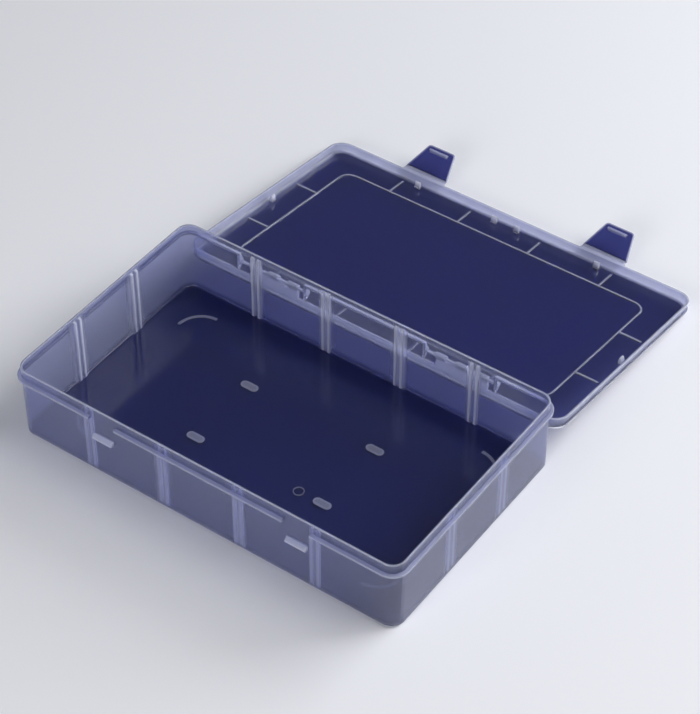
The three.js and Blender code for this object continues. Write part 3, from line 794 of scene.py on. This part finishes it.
def flap_outline(inset):
    """The outline of a flap moved in by an inset: a trapezium with round corners, in X and Y.

    Each corner is centre + (corner radius - inset) times (cos, sin) of a turning angle.
    """
    base, tip = FLAP_BASE / 2, FLAP_TIP / 2
    start, end = -WEB_REACH - SEAM, -FLAP_LENGTH
    lean = math.atan2(base - tip, FLAP_LENGTH - WEB_REACH)
    reach = FLAP_CORNER * math.tan((math.pi / 2 - lean) / 2)
    centre = np.array([tip - reach, end + FLAP_CORNER])
    corner = np.linspace(3 * np.pi / 2, 2 * np.pi - lean, FLAP_CORNER_STEPS)
    tip_arc = centre + (FLAP_CORNER - inset) * np.column_stack([np.cos(corner), np.sin(corner)])
    reach = FLAP_BASE_CORNER * math.tan((math.pi / 2 + lean) / 2)
    centre = np.array([base - reach, start - FLAP_BASE_CORNER])
    turn = np.linspace(-lean, np.pi / 2, FLAP_BASE_STEPS)
    base_arc = centre + (FLAP_BASE_CORNER - inset) * np.column_stack([np.cos(turn), np.sin(turn)])
    half = np.concatenate([tip_arc, base_arc])
    return np.concatenate([half, half[::-1] * [-1, 1]])


def flap_surface():
    """A latch flap lying flat: its outline carried up through the thickness, with rounded rims."""
    inset, rise = quarter(FLAP_ROUND, RIM_STEPS)
    lower = [(FLAP_ROUND + more, 0, pale) for more, pale in FLAP_FADE]
    lower += [(i, r, FLAP_RIM_PALE) for i, r in zip(inset, rise)]
    levels = lower + [(i, FLAP_THICKNESS - r, pale) for i, r, pale in lower[::-1]]
    outlines = [flap_outline(level[0]) for level in levels]
    rows = [[np.full(len(o), value) for value in level[1:]] for o, level in zip(outlines, levels)]
    grid = np.stack([np.column_stack([o, *row]) for o, row in zip(outlines, rows)])
    return grid.reshape(-1, grid.shape[2]), lathe_faces(*grid.shape[:2])


def web_surface():
    """The living hinge: a thin section swept from ledge to flap along a parabola.

    The parabola is the quadratic curve with its middle handle on the hinge line.
    """
    t = np.linspace(0, 1, WEB_STEPS)[:, None]
    handle = np.array([0, WEB_THICKNESS / 2])
    start = np.array([WEB_REACH - SEAM, WEB_THICKNESS / 2])
    flat_end = np.array([[0, -WEB_REACH, WEB_THICKNESS / 2]])
    end = turned(flat_end, FLAP_FOLD, (0, 0))[0, 1:]
    line = (1 - t) ** 2 * start + 2 * t * (1 - t) * handle + t**2 * end
    tangent = 2 * (1 - t) * (handle - start) + 2 * t * (end - handle)
    tangent /= np.linalg.norm(tangent, axis=1, keepdims=True)
    across = np.column_stack([-tangent[:, 1], tangent[:, 0]])
    half = WEB_THICKNESS / 2 * (1 - WEB_THINNING * np.sin(np.pi * t))
    outline = np.concatenate([line + half * across, (line - half * across)[::-1]])
    reach = FLAP_BASE / 2 - WEB_SHORT
    return prism(outline, -reach, reach)


def new_material(name):
    """A named material with its nodes cleared but for a Principled shader and the output."""
    material = bpy.data.materials.new(name)
    material.use_nodes = True
    nodes = material.node_tree.nodes
    nodes.clear()
    shader = nodes.new("ShaderNodeBsdfPrincipled")
    output = nodes.new("ShaderNodeOutputMaterial")
    material.node_tree.links.new(shader.outputs["BSDF"], output.inputs["Surface"])
    return material, material.node_tree, shader


def noise(tree, coordinates, scale, detail=3.0, roughness=0.5):
    """A noise texture on the given coordinates."""
    node = tree.nodes.new("ShaderNodeTexNoise")
    node.inputs["Scale"].default_value = scale
    node.inputs["Detail"].default_value = detail
    node.inputs["Roughness"].default_value = roughness
    tree.links.new(coordinates, node.inputs["Vector"])
    return node.outputs["Fac"]


def ranged(tree, value, start, end, low, high):
    """A value mapped from start..end to low..high."""
    node = tree.nodes.new("ShaderNodeMapRange")
    sockets = ("From Min", "From Max", "To Min", "To Max")
    for socket, number in zip(sockets, (start, end, low, high)):
        node.inputs[socket].default_value = number
    tree.links.new(value, node.inputs["Value"])
    return node.outputs["Result"]


def attribute_value(tree, name):
    """A number that the piece's mesh holds at each point."""
    node = tree.nodes.new("ShaderNodeAttribute")
    node.attribute_name = name
    return node.outputs["Fac"]


def blended(tree, factor, first, second):
    """Two colours mixed by a factor; each is a plain colour or the output of a node."""
    node = tree.nodes.new("ShaderNodeMix")
    node.data_type = "RGBA"
    tree.links.new(factor, node.inputs["Factor"])
    for socket, colour in (("A", first), ("B", second)):
        if isinstance(colour, bpy.types.NodeSocket):
            tree.links.new(colour, node.inputs[socket])
        else:
            node.inputs[socket].default_value = (*colour, 1)
    return node.outputs["Result"]


def clear_plastic(name, finish, tint):
    """Hazy clear plastic: light goes through it and a share is scattered.

    Flow marks vary the tint of wide plates, and fine scuffs vary the gloss. Where the pale
    attribute is high, on thick edges and where light is painted in, more of the light is scattered
    and the tint is milky.
    """
    material, tree, shader = new_material(name)
    inputs, link = shader.inputs, tree.links.new
    coordinates = tree.nodes.new("ShaderNodeTexCoord").outputs["Object"]
    pale, deep, bare = (attribute_value(tree, label) for label in ("pale", "deep", "bare"))
    marks = ranged(tree, noise(tree, coordinates, *FLOW_MARKS), *NOISE_SPAN, 0, 1)
    plate = [part**2 / wall for part, wall in zip(tint, finish.wall_tint)]
    marked = blended(tree, marks, [part * finish.variation for part in plate], plate)
    outer = blended(tree, deep, finish.wall_tint, marked)
    clear = blended(tree, bare, outer, finish.skin_tint)
    link(blended(tree, pale, clear, finish.edge_tint), inputs["Base Color"])
    through = ranged(tree, pale, 0, 1, finish.clearness, finish.clearness * finish.edge_clearness)
    lift = tree.nodes.new("ShaderNodeMath")
    lift.operation = "MULTIPLY_ADD"
    lift.inputs[1].default_value = BARE_CLEARNESS - finish.clearness
    link(bare, lift.inputs[0])
    link(through, lift.inputs[2])
    link(lift.outputs["Value"], inputs["Transmission Weight"])
    rough = [finish.roughness * share for share in GLOSS_SPREAD]
    gloss = ranged(tree, noise(tree, coordinates, *SCUFFS), *NOISE_SPAN, *rough)
    link(gloss, inputs["Roughness"])
    link(ranged(tree, deep, 0, 1, 1, 0), inputs["Subsurface Weight"])
    inputs["Subsurface Radius"].default_value = (1, 1, 1)
    inputs["Subsurface Scale"].default_value = SCATTER_DEPTH
    inputs["IOR"].default_value = REFRACTION
    return material


def plain_floor(name, colour):
    """A matt pale ground with a barely uneven tone."""
    material, tree, shader = new_material(name)
    coordinates = tree.nodes.new("ShaderNodeTexCoord").outputs["Object"]
    lighter = [min(1, part * FLOOR_LIGHTER) for part in colour]
    tone = blended(tree, noise(tree, coordinates, FLOOR_TONE), colour, lighter)
    tree.links.new(tone, shader.inputs["Base Color"])
    shader.inputs["Roughness"].default_value = FLOOR_ROUGHNESS
    shader.inputs["Specular IOR Level"].default_value = FLOOR_SPECULAR
    return material


def colour_setting(name, description, default):
    """A colour that the user can change."""
    return bpy.props.FloatVectorProperty(
        name=name, description=description, default=default, min=0, max=1, size=3, subtype="COLOR"
    )


def share_setting(name, description, default):
    """A share from 0 to 1 that the user can change."""
    return bpy.props.FloatProperty(
        name=name, description=description, default=default, min=0, max=1, subtype="FACTOR"
    )


class BeadBoxFinish(bpy.types.PropertyGroup):
    """Colours and gloss of the clear plastic."""

    tray_tint: colour_setting(
        "Tray tint", "Colour of light through the tray's plastic", (0.11, 0.135, 0.40)
    )
    lid_tint: colour_setting(
        "Lid tint", "Colour of light through the lid's plastic", (0.10, 0.12, 0.40)
    )
    wall_tint: colour_setting(
        "Wall tint", "Colour of light through the walls", (0.42, 0.45, 0.69)
    )
    skin_tint: colour_setting(
        "Skin tint", "Colour of light through the plates' inner skin", (0.92, 0.94, 1.0)
    )
    edge_tint: colour_setting(
        "Edge tint", "Colour of the milky plastic on thick edges", (0.69, 0.71, 0.93)
    )
    edge_clearness: share_setting(
        "Edge clearness", "Share of the faces' clearness that is left on thick edges", 0.3
    )
    clearness: share_setting(
        "Clearness", "Share of the light that goes through instead of being scattered", 0.9
    )
    roughness: share_setting("Roughness", "Haze of the faces", 0.09)
    variation: share_setting(
        "Flow marks", "Darkest share of the tint in the plastic's flow marks", 0.94
    )


class BeadBoxStage(bpy.types.PropertyGroup):
    """Floor, light and camera."""

    floor_colour: colour_setting("Floor", "Colour of the floor", (0.90, 0.90, 0.92))
    floor_size: bpy.props.FloatProperty(
        name="Floor size", description="Width of the floor", default=12, min=1, unit="LENGTH"
    )
    sky: bpy.props.FloatProperty(
        name="Sky", description="Strength of the even light", default=0.12, min=0
    )
    key: bpy.props.FloatProperty(
        name="Key", description="Power of a lamp whose share is 1", default=25, min=0, unit="POWER"
    )
    lens: bpy.props.FloatProperty(
        name="Lens", description="Focal length of the camera", default=120.59, min=1, unit="CAMERA"
    )


def plastic(context, which):
    """The tray's or the lid's material, made once."""
    name = which + "_clear_plastic"
    finish = context.scene.bead_box_finish
    tint = finish.tray_tint if which == "tray" else finish.lid_tint
    return bpy.data.materials.get(name) or clear_plastic(name, finish, tint)


def part_piece(context, which, name, points, faces, *look):
    """A piece of the tray or of the lid, in that moulding's plastic."""
    return add_piece(name, points, faces, plastic(context, which), which + "_plastic", *look)


class BEADBOX_OT_tray(bpy.types.Operator):
    """Build the tray's moulding, with its catches, flange, slot ribs and hinge ears"""

    bl_idname = "bead_box.tray"
    bl_label = "Tray"

    def execute(self, context):
        grid, faces = tray_surface()
        points, look = grid[:, :3], grid.T[3:]
        piece = part_piece(context, "tray", "tray_moulding", points, faces, *look)
        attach(piece, "tray")
        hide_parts("tray")
        return {"FINISHED"}


class BEADBOX_OT_hinge_pins(bpy.types.Operator):
    """Build the two hinge pins between the tray's ears"""

    bl_idname = "bead_box.hinge_pins"
    bl_label = "Hinge pins"

    def execute(self, context):
        points, faces = joined([pin_surface(-HINGE_X), pin_surface(HINGE_X)])
        piece = part_piece(context, "tray", "tray_hinge_pins", points, faces, 1)
        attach(piece, "tray")
        return {"FINISHED"}


class BEADBOX_OT_underside(bpy.types.Operator):
    """Build the arc feet, the oval rings and the round mark under the tray's floor"""

    bl_idname = "bead_box.underside"
    bl_label = "Feet and marks"

    def execute(self, context):
        signs = [np.array(s) for s in ((1, 1), (-1, 1), (1, -1), (-1, -1))]
        turn = np.linspace(0, np.pi / 2, FOOT_STEPS)
        normals = np.column_stack([np.cos(turn), np.sin(turn)])
        line = FOOT_CENTRE + FOOT_RADIUS * normals
        feet = [
            band_surface(line * s, normals * s, FOOT_WIDTH, 0, MARK_TOP, False) for s in signs
        ]
        points, faces = joined(feet)
        piece = part_piece(context, "tray", "tray_feet", points, faces, MARK_PALE, 1)
        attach(piece, "tray")

        oval, outward = stadium_line(OVAL[0] - OVAL_RIM, OVAL[1] - OVAL_RIM)
        heart, _ = stadium_line(OVAL[0] - 2 * OVAL_RIM, OVAL[1] - 2 * OVAL_RIM)
        places = [s * (OVAL_X, OVAL_Y) for s in signs]
        low = UNDERSIDE - OVAL_HEIGHT
        parts = [band_surface(oval + p, outward, OVAL_RIM, low, MARK_TOP, True) for p in places]
        parts += [flat_disc(heart + p, UNDERSIDE + SEAM, MARK_TOP - SEAM) for p in places]
        width = 2 * MARK_RADIUS - MARK_RIM
        circle, outward = stadium_line(width + SEAM, width)
        circle += (MARK_X, -OVAL_Y)
        low = UNDERSIDE - MARK_HEIGHT
        parts.append(band_surface(circle, outward, MARK_RIM, low, MARK_TOP, True))
        count = len(places)
        levels = [MARK_PALE] * count + [HEART_PALE] * count + [ROUND_MARK_PALE]
        pale = np.repeat(levels, [len(part[0]) for part in parts])
        points, faces = joined(parts)
        piece = part_piece(context, "tray", "tray_floor_rings", points, faces, pale, 1)
        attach(piece, "tray")
        return {"FINISHED"}


class BEADBOX_OT_lid(bpy.types.Operator):
    """Build the lid's moulding, with its skirt, ribs, lugs, hinge arms and latch ledges"""

    bl_idname = "bead_box.lid"
    bl_label = "Lid"

    def execute(self, context):
        grid, faces = lid_surface()
        points, look = opened(grid[:, :3]), grid.T[3:]
        piece = part_piece(context, "lid", "lid_moulding", points, faces, *look)
        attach(piece, "lid")
        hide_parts("lid")
        return {"FINISHED"}


class BEADBOX_OT_knuckles(bpy.types.Operator):
    """Build the open knuckles that hold the lid on the hinge pins"""

    bl_idname = "bead_box.knuckles"
    bl_label = "Knuckles"

    def execute(self, context):
        outline = knuckle_outline()
        starts = np.linspace(-ARM_WIDTH / 2, ARM_WIDTH / 2 - KNUCKLE_WIDTH, KNUCKLES)
        parts = [
            prism(outline, middle + start, middle + start + KNUCKLE_WIDTH)
            for middle in (-HINGE_X, HINGE_X)
            for start in starts
        ]
        points, faces = joined(parts)
        piece = part_piece(context, "lid", "lid_knuckles", opened(points), faces, 1)
        soften(piece, KNUCKLE_BEVEL)
        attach(piece, "lid")
        return {"FINISHED"}


class BEADBOX_OT_latches(bpy.types.Operator):
    """Build the two latch flaps, each with its hook and its living hinge"""

    bl_idname = "bead_box.latches"
    bl_label = "Latches"

    def execute(self, context):
        hook_outline = np.array(
            [
                [-HOOK_NEAR, -SEAM],
                [-HOOK_FAR, -SEAM],
                [-HOOK_NEAR - HOOK_TIP, -HOOK_HEIGHT],
                [-HOOK_NEAR, -HOOK_HEIGHT],
            ]
        )
        for hand, side in (("left", -1), ("right", 1)):
            body = "latch_" + hand
            grid, faces = flap_surface()
            points, pale = latched(grid[:, :3], side), grid[:, 3]
            name = "latch_plate_" + hand
            flap = part_piece(context, "lid", name, points, faces, pale, 1)
            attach(flap, body)
            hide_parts("latch_flap_" + hand)

            points, faces = prism(hook_outline, -HOOK_WIDTH / 2, HOOK_WIDTH / 2)
            points = latched(points, side)
            hook = part_piece(context, "lid", "latch_hook_" + hand, points, faces, HOOK_PALE)
            soften(hook, HOOK_BEVEL, FEW_STEPS)
            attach(hook, body)

            points, faces = web_surface()
            points = opened(points + np.array([side * LATCH_X, *FLAP_HINGE]))
            web = part_piece(context, "lid", "latch_hinge_" + hand, points, faces, WEB_PALE)
            ledge_end = np.array([[side * LATCH_X, FLAP_HINGE[0] + WEB_REACH, FLAP_HINGE[1]]])
            flap_end = np.array([[0, -WEB_REACH, 0]])
            start = opened(ledge_end)[0] * MM
            end = latched(flap_end, side)[0] * MM
            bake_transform(web)
            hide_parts("latch_web_" + hand)
        return {"FINISHED"}


def soft_light(name, place, size, power, colour):
    """A square area light that faces the middle of the stage."""
    data = bpy.data.lights.new(name, "AREA")
    data.size = size
    data.energy = power
    data.color = colour
    lamp = bpy.data.objects.new(name, data)
    lamp.location = place
    towards = Vector(STAGE_MIDDLE) - Vector(place)
    lamp.rotation_euler = towards.to_track_quat("-Z", "Y").to_euler()
    bpy.context.scene.collection.objects.link(lamp)


def photo_camera(lens):
    """The camera where the photograph was taken from.

    Its back direction comes from an azimuth and an elevation, its right one lies level, and both
    right and up are then rolled a little about it.
    """
    level = math.cos(ELEVATION)
    back = Vector((math.sin(AZIMUTH) * level, -math.cos(AZIMUTH) * level, math.sin(ELEVATION)))
    right = Vector((math.cos(AZIMUTH), math.sin(AZIMUTH), 0))
    up = back.cross(right)
    steps = zip((right, up, back), CAMERA_PLACE)
    place = sum((axis * step for axis, step in steps), Vector((0, 0, UNDERSIDE * MM)))
    axis_x = right * math.cos(ROLL) + up * math.sin(ROLL)
    axis_y = up * math.cos(ROLL) - right * math.sin(ROLL)
    data = bpy.data.cameras.new("camera")
    data.lens = lens
    data.sensor_width = SENSOR_WIDTH
    data.shift_x, data.shift_y = -HALF_PIXEL, HALF_PIXEL
    data.clip_end = CLIP_END
    camera = bpy.data.objects.new("camera", data)
    turn = Matrix((axis_x, axis_y, back)).transposed().to_4x4()
    camera.matrix_world = Matrix.Translation(place) @ turn
    return camera


class BEADBOX_OT_stage(bpy.types.Operator):
    """Put up the floor, the soft lights and the camera"""

    bl_idname = "bead_box.stage"
    bl_label = "Stage"

    def execute(self, context):
        scene = context.scene
        settings = scene.bead_box_stage
        half = settings.floor_size / 2
        signs = ((-1, -1), (1, -1), (1, 1), (-1, 1))
        corners = [(x * half, y * half, -FLOOR_DROP) for x, y in signs]
        mesh = bpy.data.meshes.new("floor")
        mesh.from_pydata(corners, [], [(0, 1, 2, 3)])
        mesh.materials.append(plain_floor("pale_floor", settings.floor_colour))
        floor = bpy.data.objects.new("floor", mesh)
        scene.collection.objects.link(floor)
        floor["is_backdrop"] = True
        world = bpy.data.worlds.new("even_sky")
        world.use_nodes = True
        background = world.node_tree.nodes["Background"]
        background.inputs["Color"].default_value = SKY_COLOUR
        background.inputs["Strength"].default_value = settings.sky
        scene.world = world
        for name, (place, size, share, colour) in LAMPS.items():
            soft_light(name, place, size, settings.key * share, colour)
        camera = photo_camera(settings.lens)
        scene.collection.objects.link(camera)
        scene.camera = camera
        scene.view_settings.view_transform = "Standard"
        return {"FINISHED"}


OPERATORS = (
    BEADBOX_OT_tray,
    BEADBOX_OT_hinge_pins,
    BEADBOX_OT_underside,
    BEADBOX_OT_lid,
    BEADBOX_OT_knuckles,
    BEADBOX_OT_latches,
    BEADBOX_OT_stage,
)


class BEADBOX_PT_panel(bpy.types.Panel):
    """Lists the pieces of the bead box and their settings"""

    bl_label = "Bead box"
    bl_idname = "BEADBOX_PT_panel"
    bl_space_type = "VIEW_3D"
    bl_region_type = "UI"
    bl_category = "Bead box"

    def draw(self, context):
        layout = self.layout
        for operator in OPERATORS:
            layout.operator(operator.bl_idname)
        for group in (context.scene.bead_box_finish, context.scene.bead_box_stage):
            for name in group.__annotations__:
                layout.prop(group, name)


CLASSES = (BeadBoxFinish, BeadBoxStage, *OPERATORS, BEADBOX_PT_panel)


def register():
    for cls in CLASSES:
        bpy.utils.register_class(cls)
    bpy.types.Scene.bead_box_finish = bpy.props.PointerProperty(type=BeadBoxFinish)
    bpy.types.Scene.bead_box_stage = bpy.props.PointerProperty(type=BeadBoxStage)


def unregister():
    del bpy.types.Scene.bead_box_stage
    del bpy.types.Scene.bead_box_finish
    for cls in reversed(CLASSES):
        bpy.utils.unregister_class(cls)


def main():
    register()
    bpy.ops.bead_box.stage()
    bpy.ops.bead_box.tray()
    bpy.ops.bead_box.hinge_pins()
    bpy.ops.bead_box.underside()
    bpy.ops.bead_box.lid()
    bpy.ops.bead_box.knuckles()
    bpy.ops.bead_box.latches()
    boxes = {"cad": CAD_BOX, "visual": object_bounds()}
    {name: [list(map(float, corner)) for corner in box] for name, box in boxes.items()}


if __name__ == "__main__":
    main()
